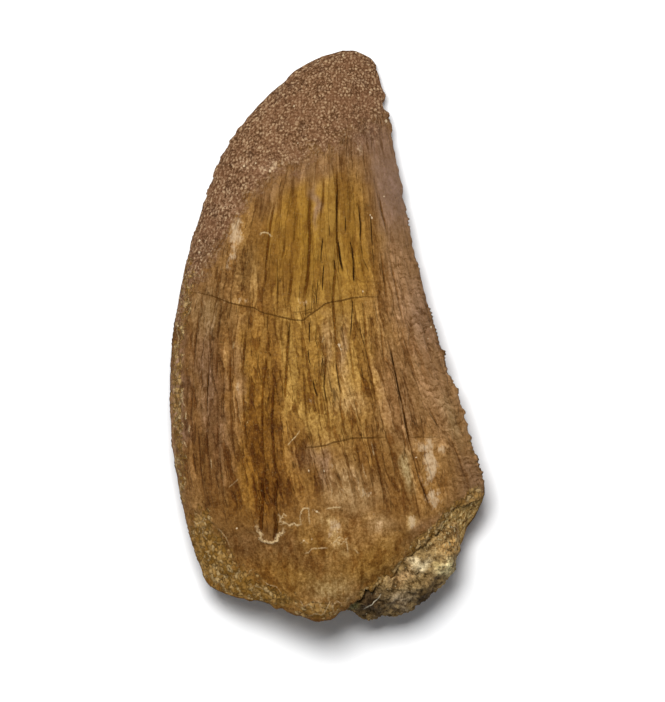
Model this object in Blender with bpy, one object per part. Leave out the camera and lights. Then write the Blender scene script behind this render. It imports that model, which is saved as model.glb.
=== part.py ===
"""A fossil theropod tooth, lying on its flatter face, with the sandstone that fills its broken base.

The crown is a loft: lens-shaped sections hung between the two cutting edges, which are read from
a short table of stations. It ends in an oblique break, and the sandstone lies in the pulp cavity
that the break opens.

Lengths are in millimetres until a mesh is made. X runs from the mesial (convex) edge to the distal
edge, Y from the base to the tip and Z up from the surface that the tooth lies on. The origin is on
that surface, under the middle of the tooth.
"""

import math

import bmesh
import bpy
import numpy as np

MM = 0.001

# Driving dimensions of the crown
THICKNESS = 17.0  # front face to back face, where the tooth is thickest
THICKEST_AT = 66.0  # distance from the tip to the thickest section
BACK_SHARE = 0.47  # part of the thickness that lies behind the cutting edges
LENS_POWER = 0.74  # 0.5 is an ellipse, 1 a sharp-edged lens
TIP_LIFT = 1.3  # height of the tip's back over the surface it lies on
LIFT_REACH = 42.0  # distance from the tip over which the back comes down to the surface
REST_CUT = 0.35  # how much of the back's belly is worn to the flat that the tooth lies on
TWIST = 1.6  # how far the mesial edge lies below the distal edge at the base

# Mesial edge x and y, then distal edge x and y. The last rows are the crown as it was before it broke.
STATIONS = np.array(
    [
        (2.3, 39.9, 4.0, 39.9),
        (-0.4, 39.3, 5.7, 39.2),
        (-4.0, 37.6, 6.9, 37.5),
        (-8.1, 34.2, 7.9, 34.3),
        (-12.0, 29.8, 8.7, 30.4),
        (-14.8, 25.3, 9.6, 25.3),
        (-16.9, 20.0, 10.6, 20.0),
        (-19.0, 13.3, 11.8, 13.3),
        (-20.6, 6.6, 13.5, 6.6),
        (-21.8, -1.8, 15.9, -1.8),
        (-22.0, -8.8, 18.4, -8.8),
        (-21.6, -15.8, 20.4, -15.8),
        (-20.5, -22.5, 22.0, -21.5),
        (-18.9, -28.8, 22.6, -28.0),
        (-17.1, -34.2, 22.8, -34.0),
        (-14.5, -42.0, 22.6, -42.0),
    ]
)

# The break's edge on the front face and on the back face, as x and y
FRONT_BREAK = (
    (-17.6, -33.0), (-16.9, -34.9), (-14.8, -35.9), (-11.0, -37.0), (-7.0, -38.1), (-3.6, -39.5),
    (-1.2, -40.0), (0.9, -39.3), (3.1, -37.5), (5.4, -36.0), (7.6, -34.9), (9.7, -33.0),
    (11.2, -31.0), (12.9, -29.9), (14.7, -27.9), (16.4, -26.0), (17.4, -24.3), (19.6, -23.4),
    (21.4, -22.8), (22.2, -21.3),
)
BACK_BREAK = (
    (-17.6, -33.0), (-16.6, -34.6), (-14.0, -35.2), (-10.0, -36.2), (-6.0, -37.2), (-2.0, -37.8),
    (2.0, -37.4), (6.0, -37.8), (10.0, -37.3), (14.0, -35.2), (16.4, -33.0), (17.8, -30.8),
    (18.9, -28.6), (19.5, -26.7), (20.6, -25.2), (21.6, -23.1), (22.2, -21.3),
)
BREAK_JITTER = 0.35  # how far the break's edge wanders
BREAK_RELIEF = 0.9  # height of the lumps on the broken face
BREAK_DIP = 2.2  # how far the broken face is hollowed at its middle
RIM_DROP = 0.3  # share of the bulge that is worn away at the break's edge
RIM_REACH = 1.8  # distance over which the worn edge fades

# Saw teeth of the two cutting edges
DENTICLE_PITCH = 0.62
DENTICLE_HEIGHT = 0.32
DENTICLE_BAND = 0.45  # distance from the edge over which a denticle fades
NICKS = (("distal", 8.6, 0.9, 0.5), ("mesial", 4.4, 0.9, 0.4), ("distal", 46.0, 0.7, 0.4))

# Cracks of the front face: depth, then points as x and y, from the tip's end to the base's end
CRACK_WIDTH = 0.26
CRACKS = (
    (0.30, (-7.2, 19.5), (-8.2, 14.1), (-8.8, 8.3), (-9.3, 5.0)),
    (0.32, (-4.4, 21.6), (-4.7, 13.6), (-5.4, 9.4)),
    (0.26, (-5.8, 15.1), (-6.9, 8.3), (-7.2, 2.9), (-7.4, -12.0)),
    (0.34, (-2.3, 22.0), (-2.7, 12.2), (-3.3, 5.5)),
    (0.34, (-0.3, 22.0), (-1.2, 15.7), (-0.7, 5.7)),
    (0.26, (1.3, 22.0), (1.6, 13.6), (0.9, 5.2), (1.5, -3.5), (1.9, -14.0)),
    (0.40, (3.3, 15.0), (3.9, 7.6), (3.4, 5.5), (3.2, -4.0)),
    (0.30, (4.4, 18.2), (5.0, 10.2), (5.8, 7.5)),
    (0.34, (6.2, 16.9), (6.9, 10.2), (8.2, 4.3)),
    (0.26, (6.8, 21.1), (8.8, 13.7)),
    (0.26, (9.0, 10.0), (9.7, 1.8), (12.4, -5.5)),
    (0.38, (8.2, 1.0), (9.9, -8.8), (11.1, -14.1), (14.6, -24.1)),
    (0.24, (5.0, -4.0), (5.9, -12.0), (7.6, -20.0)),
    (0.24, (-2.6, -1.0), (-2.9, -12.0), (-2.8, -21.0)),
    (0.24, (-11.6, 4.0), (-12.9, -8.0), (-13.2, -22.0)),
    (0.24, (-15.6, 2.0), (-17.0, -9.0), (-16.9, -24.0)),
    (0.34, (-8.2, -13.0), (-8.3, -20.4), (-7.9, -28.0)),
)
CROSS_CRACK = ((-20.1, 6.3), (-16.0, 5.7), (-11.6, 4.3), (-6.2, 2.7), (-3.4, 2.4), (0.6, 4.8), (4.0, 5.6), (7.9, 5.5))
CROSS_CRACK_DEPTH = 0.28
CRUST_EDGE = ((-18.0, 15.5), (-13.0, 17.0), (-9.0, 19.8), (-5.5, 22.3), (0.0, 25.2), (5.0, 26.3), (11.0, 26.3))
CRUST_LUMP = 1.5  # spacing of the lumps on the roughened tip
CRUST_RELIEF = 0.28
LEDGE = (
    (-19.6, -23.6), (-14.8, -24.4), (-11.4, -25.6), (-9.8, -28.1), (-7.3, -28.1), (-6.2, -26.0),
    (-2.0, -25.6), (0.6, -23.6), (6.0, -24.6), (12.0, -27.0), (17.0, -24.6),
)
LEDGE_STEP = 0.35  # thickness of the enamel that ends at the ledge
SAND_PATCH = (-15.4, -31.6, 5.6, 5.2)  # middle and half sizes of the sandy crust near the mesial base
SAND_RELIEF = 0.7

# The sandstone in the pulp cavity: middle line as x, y and z, with the section's half sizes
MATRIX_LINE = np.array(
    [
        (-12.5, -33.6, 7.4, 0.6, 0.6),
        (-9.5, -34.6, 7.5, 1.9, 2.2),
        (-5.5, -35.2, 7.7, 2.3, 2.9),
        (-1.0, -35.3, 7.9, 2.5, 3.4),
        (2.6, -35.2, 7.9, 2.6, 3.6),
        (5.6, -35.2, 8.0, 3.7, 3.9),
        (8.7, -34.4, 8.1, 4.1, 4.2),
        (11.6, -32.9, 8.3, 4.2, 4.2),
        (14.2, -31.0, 8.5, 3.9, 3.9),
        (16.0, -29.0, 8.7, 2.9, 3.1),
        (17.2, -27.2, 8.9, 1.7, 1.9),
        (18.0, -25.9, 9.0, 0.5, 0.5),
    ]
)
MATRIX_LUMP = 0.8  # height of the sandstone's lumps
CLEARANCE = 0.45  # grown on the cutter, so that the two solids stay 0.3 mm apart

# How finely the shapes are sampled, and how many faces the crown keeps
CROWN_ROWS = 250
CROWN_COLUMNS = 104
BREAK_ROWS = 16
CROWN_FACES = 7300
MATRIX_STEPS = 42
MATRIX_SIDES = 18

TOOTH_COLOUR = (0.30, 0.17, 0.06)
MATRIX_COLOUR = (0.26, 0.20, 0.10)


def clear_scene():
    for obj in list(bpy.data.objects):
        bpy.data.objects.remove(obj)


def smooth(knots, values, at):
    """A cubic curve through the values at the knots, read at the given places."""
    knots, values = np.asarray(knots, float), np.asarray(values, float)
    slopes = np.gradient(values, knots)
    cell = np.clip(np.searchsorted(knots, at, side="right") - 1, 0, len(knots) - 2)
    width = knots[cell + 1] - knots[cell]
    f = np.clip((at - knots[cell]) / width, 0.0, 1.0)
    start = values[cell] * (1 + 2 * f) + slopes[cell] * width * f
    end = values[cell + 1] * (3 - 2 * f) + slopes[cell + 1] * width * (f - 1)
    return start * (1 - f) ** 2 + end * f**2


def ramp(x, low, high):
    """0 below low, 1 above high and an S-curve between."""
    f = np.clip((x - low) / (high - low), 0.0, 1.0)
    return f * f * (3 - 2 * f)


def noise(u, v, seed):
    """Smooth noise from -1 to 1 whose lumps are one unit apart."""
    grid = np.random.default_rng(seed).uniform(-1, 1, (128, 128))
    i, j = np.floor(u).astype(int), np.floor(v).astype(int)
    f, g = u - i, v - j
    f, g = f * f * (3 - 2 * f), g * g * (3 - 2 * g)
    near = grid[i % 128, j % 128] * (1 - f) + grid[(i + 1) % 128, j % 128] * f
    far = grid[i % 128, (j + 1) % 128] * (1 - f) + grid[(i + 1) % 128, (j + 1) % 128] * f
    return near * (1 - g) + far * g


# Distance of each station from the tip, along the line midway between the two edges
MIDLINE = (STATIONS[:, :2] + STATIONS[:, 2:]) / 2
DEPTHS = np.concatenate([[0.0], np.cumsum(np.hypot(*np.diff(MIDLINE, axis=0).T))])


def denticles(edge, depth):
    """How far the saw teeth of an edge stand out at a distance from the tip."""
    column = 0 if edge == "mesial" else 2
    along = np.concatenate([[0.0], np.cumsum(np.hypot(*np.diff(STATIONS[:, column : column + 2], axis=0).T))])
    turn = smooth(DEPTHS, along, depth) / DENTICLE_PITCH
    wear = 0.55 + 0.45 * noise(turn / 3.0, turn * 0.0, 11 + column)
    fresh = 0.55 if edge == "mesial" else 1.0
    height = DENTICLE_HEIGHT * fresh * wear * ramp(depth, 6.0, 16.0)
    out = height * (0.5 - 0.5 * np.cos(2 * math.pi * turn))
    for nicked, place, length, bite in NICKS:
        if nicked == edge:
            out = out - bite * np.exp(-(((depth - place) / length) ** 2))
    return out


def thickness(depth):
    """Thickness of the crown, from a rounded tip to the thickest section and a little less beyond."""
    u = np.clip(depth / THICKEST_AT, 0.0, 1.0)
    beyond = np.clip(depth - THICKEST_AT, 0.0, None) / THICKEST_AT
    return THICKNESS * (1 - (1 - u) ** 1.8) ** 0.85 * (1 - 1.2 * beyond**2)


def crown_point(side, s, depth, end):
    """Points of the front (side 1) or back (side -1) face. s runs from the mesial edge to the distal one."""
    mesial = np.stack([smooth(DEPTHS, STATIONS[:, 0], depth), smooth(DEPTHS, STATIONS[:, 1], depth)])
    distal = np.stack([smooth(DEPTHS, STATIONS[:, 2], depth), smooth(DEPTHS, STATIONS[:, 3], depth)])
    across = distal - mesial
    width = np.hypot(*across)
    stand_out = denticles("distal", depth) * np.exp(-(1 - s) * width / DENTICLE_BAND)
    stand_out = stand_out - denticles("mesial", depth) * np.exp(-s * width / DENTICLE_BAND)
    x, y = mesial + across * (s + stand_out / width)

    thick = thickness(depth)
    lift = TIP_LIFT * np.clip(1 - depth / LIFT_REACH, 0.0, None) ** 2
    lift = lift - REST_CUT * ramp(depth, 22.0, 40.0)
    edge_height = lift + BACK_SHARE * thick + TWIST * (s - 0.5) * ramp(depth, 0.0, 70.0)
    lens = np.clip(4 * s * (1 - s), 0.0, 1.0) ** LENS_POWER
    share = 1 - BACK_SHARE if side > 0 else BACK_SHARE
    worn = 1 - RIM_DROP * np.exp(-np.clip(end - depth, 0.0, None) / RIM_REACH)
    z = edge_height + side * share * thick * lens * worn
    return np.stack([x, y, z], axis=-1)


def break_depth(side, s):
    """Distance from the tip at which each column meets the break's edge."""
    edge = np.array(FRONT_BREAK if side > 0 else BACK_BREAK)
    depth = np.linspace(50.0, DEPTHS[-1], 900)
    s, depth = np.meshgrid(s, depth, indexing="ij")
    x, y, _ = np.moveaxis(crown_point(side, s, depth, depth + 99.0), -1, 0)
    fade = np.clip(4 * s * (1 - s), 0.0, 1.0)
    limit = np.interp(x, edge[:, 0], edge[:, 1]) + BREAK_JITTER * fade * noise(x * 1.1, x * 0.0, 5 + side)
    passed = y < limit
    return depth[np.arange(len(s)), np.argmax(passed, axis=1)]


def front_relief(x, y):
    """Height of the front face's cracks, crust, enamel ledge and sand over the plain loft."""
    relief = np.zeros_like(x)
    for deep, *line in CRACKS:
        top, foot = line[0][1], line[-1][1]
        drawn = ramp(top - y, 0.0, 2.0) * ramp(y - foot, 0.0, 2.5)
        middle = np.interp(-y, [-point[1] for point in line], [point[0] for point in line])
        relief -= deep * drawn * np.exp(-(((x - middle) / CRACK_WIDTH) ** 2))
    line = np.array(CROSS_CRACK)
    drawn = ramp(x, line[0, 0] - 1, line[0, 0] + 1) * (1 - ramp(x, line[-1, 0] - 1, line[-1, 0] + 1))
    middle = np.interp(x, line[:, 0], line[:, 1]) + 0.25 * noise(x * 1.3, x * 0.0, 17)
    relief -= CROSS_CRACK_DEPTH * drawn * np.exp(-(((y - middle) / CRACK_WIDTH) ** 2))
    crust = ramp(y - np.interp(x, *np.array(CRUST_EDGE).T), -0.4, 1.2)
    relief += CRUST_RELIEF * crust * (0.4 + noise(x / CRUST_LUMP, y / CRUST_LUMP, 21))
    below = ramp(np.interp(x, *np.array(LEDGE).T) - y, -0.25, 0.25)
    relief -= LEDGE_STEP * below
    middle_x, middle_y, half_x, half_y = SAND_PATCH
    sand = 1 - ramp(np.hypot((x - middle_x) / half_x, (y - middle_y) / half_y), 0.7, 1.1)
    return relief + SAND_RELIEF * sand * np.abs(noise(x / 1.1, y / 1.1, 31))


def crown_wall(side):
    """The grid of points of one face, from the tip to the break."""
    u = np.linspace(0, 1, CROWN_COLUMNS + 1)
    s = u - 0.7 * np.sin(2 * math.pi * u) / (2 * math.pi)
    end = break_depth(side, s)
    end[[0, -1]] = break_depth(1, s[[0, -1]])
    s, v = np.meshgrid(s, np.linspace(0, 1, CROWN_ROWS + 1), indexing="ij")
    end = np.broadcast_to(end[:, None], s.shape)
    points = crown_point(side, s, v * end, end)
    x, y, _ = np.moveaxis(points, -1, 0)
    fade = ramp(s, 0.0, 0.05) * ramp(1 - s, 0.0, 0.05) * ramp(v, 0.0, 0.02) * ramp(1 - v, 0.0, 0.02)
    relief = front_relief(x, y) if side > 0 else 0.12 * noise(x / 4, y / 4, 41)
    points[..., 2] += side * relief * fade
    return points


def broken_face(front, back):
    """The grid between the two faces' ends: hollowed at the middle, and rough."""
    r = np.linspace(0, 1, BREAK_ROWS + 1)[None, :, None]
    face = front[:, -1:, :] * (1 - r) + back[:, -1:, :] * r
    u = np.linspace(0, 1, len(front))[:, None]
    inside = (4 * u * (1 - u)) ** 0.5 * (4 * r[..., 0] * (1 - r[..., 0])) ** 0.7
    rough = BREAK_RELIEF * noise(face[..., 0] / 1.6, face[..., 2] / 1.6, 51)
    face[..., 1] += inside * (BREAK_DIP + rough)
    return face


def grid_faces(shape, first):
    """Four-sided faces of a grid of points that are numbered row by row from first."""
    number = first + np.arange(shape[0] * shape[1]).reshape(shape[:2])
    corners = (number[:-1, :-1], number[1:, :-1], number[1:, 1:], number[:-1, 1:])
    return np.stack(corners, axis=-1).reshape(-1, 4)


def mesh_of_grids(name, grids):
    """One closed mesh from grids that share their borders."""
    mesh = bpy.data.meshes.new(name)
    firsts = np.cumsum([0] + [g.shape[0] * g.shape[1] for g in grids])
    points = np.concatenate([g.reshape(-1, 3) for g in grids]) * MM
    faces = np.concatenate([grid_faces(g.shape, n) for g, n in zip(grids, firsts)])
    mesh.from_pydata(points.tolist(), [], faces.tolist())
    shape = bmesh.new()
    shape.from_mesh(mesh)
    bmesh.ops.remove_doubles(shape, verts=shape.verts, dist=0.002 * MM)
    bmesh.ops.recalc_face_normals(shape, faces=shape.faces)
    shape.to_mesh(mesh)
    shape.free()
    return mesh


def new_object(name, mesh, collection, colour):
    material = bpy.data.materials.new(name)
    material.use_nodes = True
    shader = material.node_tree.nodes["Principled BSDF"]
    shader.inputs["Base Color"].default_value = (*colour, 1.0)
    shader.inputs["Roughness"].default_value = 0.6
    shader.inputs["Metallic"].default_value = 0.0
    mesh.materials.append(material)
    obj = bpy.data.objects.new(name, mesh)
    collection.objects.link(obj)
    return obj


def matrix_mesh(name, grown):
    """The sandstone as a lumpy sausage along its middle line, grown by a distance on every side."""
    step = np.linspace(0, len(MATRIX_LINE) - 1, MATRIX_STEPS + 1)
    knots = np.arange(len(MATRIX_LINE))
    x, y, z, half_y, half_z = (smooth(knots, column, step)[:, None] for column in MATRIX_LINE.T)
    turn = np.linspace(0, 2 * math.pi, MATRIX_SIDES + 1)[None, :]
    # Sections stand square to the middle line, which bends towards the tip at its distal end.
    heading = np.arctan2(np.gradient(y[:, 0]), np.gradient(x[:, 0]))[:, None]
    ends = np.sin(math.pi * np.linspace(0, 1, MATRIX_STEPS + 1))[:, None] ** 0.3
    # The lumps of the last turn run over into those of the first one, so that the sections close.
    around = turn / (2 * math.pi)
    along = step[:, None] * 1.7
    lump = (1 - around) * noise(along, 9 * around, 61) + around * noise(along, 9 * around - 9, 61)
    lump = MATRIX_LUMP * lump
    radius_y = (half_y + lump * ends) * ends + grown
    radius_z = (half_z + lump * ends) * ends + grown
    side = radius_y * np.cos(turn)
    stretch = grown * np.linspace(-1, 1, MATRIX_STEPS + 1)[:, None]
    points = np.stack(
        [
            x - side * np.sin(heading) + stretch * np.cos(heading),
            y + side * np.cos(heading) + stretch * np.sin(heading),
            z + radius_z * np.sin(turn),
        ],
        axis=-1,
    )
    ends_closed = [np.repeat(points[k : k + 1].mean(axis=1, keepdims=True), MATRIX_SIDES + 1, axis=1) for k in (0, -1)]
    return mesh_of_grids(name, [np.concatenate([ends_closed[0], points, ends_closed[1]])])


def box_mesh(name, centre, size):
    shape = bmesh.new()
    bmesh.ops.create_cube(shape, size=1.0)
    bmesh.ops.scale(shape, vec=[side * MM for side in size], verts=shape.verts)
    bmesh.ops.translate(shape, vec=[place * MM for place in centre], verts=shape.verts)
    mesh = bpy.data.meshes.new(name)
    shape.to_mesh(mesh)
    shape.free()
    return mesh


def build_matrix(parts):
    matrix = new_object("matrix", matrix_mesh("matrix", 0.0), parts, MATRIX_COLOUR)
    matrix.data.shade_smooth()


def build_tooth(parts, cutters):
    front, back = crown_wall(1), crown_wall(-1)
    mesh = mesh_of_grids("tooth", [front, back, broken_face(front, back)])
    mesh.shade_smooth()
    tooth = new_object("tooth", mesh, parts, TOOTH_COLOUR)
    thin = tooth.modifiers.new("thin", "DECIMATE")
    thin.ratio = CROWN_FACES / (2 * len(mesh.polygons))
    cuts = {
        "pulp_cavity": matrix_mesh("pulp_cavity", CLEARANCE),
        "resting_flat": box_mesh("resting_flat", (0.0, 0.0, -5.0), (60.0, 100.0, 10.0)),
    }
    for name, shape in cuts.items():
        cutter = new_object(name, shape, cutters, TOOTH_COLOUR)
        cutter.hide_render = True
        cutter.display_type = "WIRE"
        cut = tooth.modifiers.new(name, "BOOLEAN")
        cut.operation = "DIFFERENCE"
        cut.object = cutter


def main():
    clear_scene()
    parts = bpy.data.collections.new("fossil_tooth")
    cutters = bpy.data.collections.new("cutters")
    for collection in (parts, cutters):
        bpy.context.scene.collection.children.link(collection)
    build_matrix(parts)
    build_tooth(parts, cutters)


main()
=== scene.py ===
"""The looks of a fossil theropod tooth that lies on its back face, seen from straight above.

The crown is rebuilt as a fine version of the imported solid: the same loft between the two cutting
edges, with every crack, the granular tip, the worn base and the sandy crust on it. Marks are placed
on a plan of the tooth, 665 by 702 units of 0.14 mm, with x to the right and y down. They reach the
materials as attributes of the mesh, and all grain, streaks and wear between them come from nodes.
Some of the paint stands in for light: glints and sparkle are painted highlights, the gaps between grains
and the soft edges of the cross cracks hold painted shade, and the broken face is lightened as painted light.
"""

import math

import bmesh
import bpy
import numpy as np
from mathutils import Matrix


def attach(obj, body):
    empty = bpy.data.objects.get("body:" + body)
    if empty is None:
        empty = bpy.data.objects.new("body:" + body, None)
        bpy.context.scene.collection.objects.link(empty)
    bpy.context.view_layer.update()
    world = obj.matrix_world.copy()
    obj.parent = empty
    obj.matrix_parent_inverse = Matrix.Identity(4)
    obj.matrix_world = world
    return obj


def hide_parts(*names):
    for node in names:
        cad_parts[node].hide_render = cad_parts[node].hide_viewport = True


MM = 0.001
UNIT = 0.14  # millimetres of one unit of the plan
PLAN = (665, 702)
CENTRE = (327.5, 337.0)  # where the origin lies on the plan

# The crown's shape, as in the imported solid
THICKNESS = 17.0
THICKEST_AT = 66.0
TIP_POWER = 1.8  # how soon the crown thickens from the tip
ROUND_POWER = 0.85
THINNING = 1.2  # how fast it thins beyond its thickest place
BACK_SHARE = 0.47
LENS_POWER = 0.74
TIP_LIFT = 1.3
LIFT_REACH = 42.0
REST_CUT = 0.35
REST_FROM = (22.0, 40.0)  # the flat that it rests on comes in between these distances from the tip
TWIST = 1.6
TWIST_REACH = 70.0
STATIONS = np.array((
    (2.3, 39.9, 4.0, 39.9), (-0.4, 39.3, 5.7, 39.2), (-4.0, 37.6, 6.9, 37.5), (-8.1, 34.2, 7.9, 34.3),
    (-12.0, 29.8, 8.7, 30.4), (-14.8, 25.3, 9.6, 25.3), (-16.9, 20.0, 10.6, 20.0), (-19.0, 13.3, 11.8, 13.3),
    (-20.6, 6.6, 13.5, 6.6), (-21.8, -1.8, 15.9, -1.8), (-22.0, -8.8, 18.4, -8.8),
    (-21.6, -15.8, 20.4, -15.8), (-20.5, -22.5, 22.0, -21.5), (-18.9, -28.8, 22.6, -28.0),
    (-17.1, -34.2, 22.8, -34.0), (-14.5, -42.0, 22.6, -42.0),
))
FRONT_BREAK = (
    (-17.6, -33.0), (-17.2, -34.0), (-16.4, -34.9), (-15.4, -35.4), (-14.2, -36.0), (-12.2, -36.6),
    (-9.7, -37.0), (-7.5, -37.7), (-5.2, -38.6), (-3.0, -39.4), (-1.2, -39.8), (0.4, -39.5), (1.8, -38.5),
    (3.1, -37.7), (5.4, -36.0), (7.6, -34.9), (9.7, -33.0), (11.2, -31.0), (12.9, -29.9), (14.7, -27.9),
    (16.4, -26.0), (17.4, -24.3), (19.6, -23.4), (21.4, -22.8), (22.2, -21.3),
)
BACK_BREAK = (
    (-17.6, -33.0), (-16.6, -34.6), (-14.0, -35.2), (-10.0, -36.2), (-6.0, -37.2), (-2.0, -37.8),
    (2.0, -37.4), (6.0, -37.8), (10.0, -37.3), (14.0, -35.2), (16.4, -33.0), (17.8, -30.8), (18.9, -28.6),
    (19.5, -26.7), (20.6, -25.2), (21.6, -23.1), (22.2, -21.3),
)
BREAK_JITTER = 0.35
BREAK_CRUMBS = 0.6  # how far the edge is eaten out between the crumbs of its right half
BREAK_RELIEF = 0.9
BREAK_DIP = 2.2
RIM_DROP = 0.3
RIM_REACH = 1.8
DENTICLE_PITCH = 0.62
DENTICLE_HEIGHT = 0.32
DENTICLE_BAND = 0.45
DENTICLES_FROM = (6.0, 16.0)  # they come in between these distances from the tip
MESIAL_WEAR = 0.55  # height of the worn mesial saw teeth, as a share of the distal ones
NICKS = (("distal", 8.6, 0.9, 0.5), ("mesial", 4.4, 0.9, 0.4), ("distal", 46.0, 0.7, 0.4))
LEDGE_STEP = 0.14
# Nubs that stand out of the distal edge: y, height and half length
EDGE_NUBS = (
    (-2.1, 0.45, 0.35), (-4.5, 0.3, 0.3), (-7.4, 0.35, 0.4), (-10.5, 0.35, 0.4), (-12.2, 0.25, 0.3),
    (-14.0, 0.3, 0.35), (-16.8, 0.3, 0.45), (-18.9, 0.2, 0.3), (-20.2, 0.2, 0.5),
)
EDGE_ROUGHNESS = 0.2
ROUGH_BAND = 0.8
ROUGH_TO = (22.0, 34.0)  # the rough edges of the tip's crust end between these distances from the tip
TIP_GROWN = 0.3  # the crust makes the tip this much longer
TIP_REACH = 1.5  # and only about this far down

MATRIX_LINE = np.array((
    (-12.5, -33.6, 7.4, 0.6, 0.6), (-9.5, -34.6, 7.5, 1.9, 2.2), (-5.5, -35.2, 7.7, 2.3, 2.9),
    (-1.0, -35.3, 7.9, 2.5, 3.4), (2.6, -35.2, 7.9, 2.6, 3.6), (5.6, -35.2, 8.0, 3.7, 3.9),
    (8.7, -34.4, 8.1, 4.1, 4.2), (11.6, -32.9, 8.3, 4.2, 4.2), (14.2, -31.0, 8.5, 3.9, 3.9),
    (16.0, -29.0, 8.7, 2.9, 3.1), (17.2, -27.2, 8.9, 1.7, 1.9), (18.0, -25.9, 9.0, 0.5, 0.5),
))
MATRIX_LUMP = 0.8
MATRIX_GROWN = 0.25  # the sediment fills the joint that the solids leave open
MATRIX_RISE = np.array((-0.3, 0.6, 0.95))  # how far its upper side is moved, over the front's edge

# How finely the meshes are made
CROWN_ROWS = 330
CROWN_COLUMNS = 236
BREAK_ROWS = 26
BACK_KEPT = 0.16  # share of the back's faces that are kept
MATRIX_STEPS = 300
MATRIX_SIDES = 110
SEED_GRID = 128  # cells of flat noise before it repeats
SEED_BLOCK = 32  # cells of noise in space before it repeats
PEBBLE_BLOCK = 16

# Relief of the crown in millimetres
FLOW_WIDTH = 42.0  # the crown's width on the grid that its bands follow
BAND_RELIEF = 0.05
FINE_RELIEF = 0.04
BARE_RELIEF = 0.16
CRUST_GRAINS = 0.11
SAND_GRAINS = 0.34
SAND_LUMPS = 0.25
BACK_RELIEF = 0.6  # the back's relief, as a share of the front's
# Lines in relief: attribute, height, half widths to where it fades, most strength
LINE_RELIEF = (
    ("streak", -0.10, 1.0, 1.5),
    ("crack", -0.13, 2.4, 1.0),
    ("cross", -0.10, 2.4, 1.0),
    ("scratch", 0.05, 2.0, 1.5),
)
# What the broken face has none of
CROWN_ONLY = (
    "streak_power", "streaky", "wrinkled", "crack_power", "cross_power", "scratch_power", "glint", "pale",
)
# The back's marks are the front's, mirrored about half of the first value, leaned about a level and moved up
BACK_TURN = 636
BACK_SLANT = 0.12
BACK_LEVEL = 300
BACK_RISE = 14
BACK_PALE = 0.35
BACK_SAND = 0.5

# The studio
FLOOR_SIDE = 1.5  # half the floor's side, in metres
FLOOR_GREY = 0.92
WORLD_COLOUR = (0.94, 0.99, 1.06, 1.0)
WORLD_STRENGTH = 0.18
KEY_PLACE = (-0.045, 0.13, 0.464)
KEY_SIZE = 0.19
KEY_POWER = 3.06
LENS = 900.0  # millimetres: so long that the view is nearly parallel, like the photograph's
SENSOR = 36.0
CAMERA_RISE = 0.006  # the height at which the plan's scale holds, about that of the outline

# Soft dark streaks: strength, half width in millimetres, then x and y of each point on the plan
STREAKS = (
    (0.85, 0.22, 276, 196, 271, 222, 268, 247, 265.5, 279, 261, 300),
    (0.45, 0.22, 293, 170, 293, 200, 292, 215),
    (0.75, 0.24, 298, 206, 294, 247, 291, 260, 292, 277, 288, 308),
    (0.6, 0.16, 285, 234, 284, 251, 280.5, 262, 278.5, 281, 277, 318),
    (0.8, 0.28, 311, 172, 310, 200, 309, 220, 310, 238, 309, 262, 307, 284, 302, 306),
    (0.6, 0.18, 324, 172, 323, 201, 318, 228), (0.9, 0.2, 337, 168, 337, 215, 337, 242, 338.5, 250, 343, 272),
    (0.85, 0.26, 336, 244, 334.5, 262, 335.5, 271, 333.5, 287, 333.5, 303, 334.5, 326, 336, 346, 339, 364),
    (0.5, 0.2, 349, 176, 350, 206, 348, 236), (0.6, 0.2, 359, 196, 361, 224, 361, 258, 366, 284),
    (0.7, 0.22, 374, 176, 383, 215, 390, 240), (0.6, 0.2, 380.5, 250, 385, 284, 387, 312),
    (0.55, 0.2, 389, 252, 397, 292, 405, 330), (0.6, 0.18, 398, 318, 407, 348, 416, 378),
    (0.5, 0.16, 405, 316, 417, 352, 427, 384),
    (1.0, 0.18, 388, 338, 395.5, 372, 398.5, 388, 403, 406, 405.5, 422, 409, 440, 420, 480, 432, 512),
    (0.6, 0.16, 427, 404, 440, 428, 451, 440, 459, 459, 467, 482),
    (0.8, 0.22, 268, 308, 267, 328, 268.5, 345, 263, 392, 262, 430, 264, 470),
    (0.8, 0.22, 290, 316, 288, 345, 286, 380, 284, 410), (0.6, 0.2, 302, 322, 303, 360, 306, 410, 309, 448),
    (0.65, 0.2, 319.5, 326, 320.5, 345, 319, 372, 323, 420),
    (0.7, 0.2, 327, 334, 325, 372, 324, 387, 327, 403, 330, 434),
    (0.7, 0.22, 336, 343, 337, 372, 341, 393, 340, 404, 344, 430, 349, 442),
    (0.65, 0.2, 351, 324, 350, 345, 353, 372, 359, 404), (0.65, 0.2, 364, 300, 366, 345, 372, 380, 378, 414),
    (0.55, 0.18, 380, 320, 384, 360, 392, 402), (0.85, 0.24, 274, 380, 272, 420, 274, 452, 276, 480),
    (0.75, 0.2, 246, 326, 243, 370, 244, 412, 247, 456),
    (0.7, 0.22, 231.5, 318, 230, 362, 230.5, 405, 232, 432, 236, 480),
    (0.6, 0.2, 222, 296, 218, 335, 216, 384),
    (0.8, 0.18, 210, 344, 208.5, 372, 206.5, 405, 207, 440, 211, 490),
    (0.65, 0.18, 200, 302, 196, 338, 193, 372, 191, 424), (0.65, 0.18, 217, 392, 218, 440, 224, 504),
    (0.65, 0.16, 198, 426, 201, 470, 207, 516), (0.65, 0.22, 290, 400, 291, 440, 295, 486),
    (0.55, 0.2, 307, 416, 309, 448, 312, 490), (0.55, 0.2, 331, 448, 336, 490),
    (0.6, 0.2, 356, 440, 362, 476, 370, 514), (0.65, 0.24, 372, 436, 379, 470, 388, 510),
    (0.65, 0.24, 386, 426, 395, 468, 402, 510), (0.45, 0.16, 424, 296, 430, 322, 440, 352),
    (0.7, 0.4, 252, 440, 254, 480, 258, 520), (1.3, 0.3, 262, 470, 263, 500, 261, 526, 260, 537),
    (1.5, 0.34, 277, 476, 275, 505, 276, 524, 275, 540),
)
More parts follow.
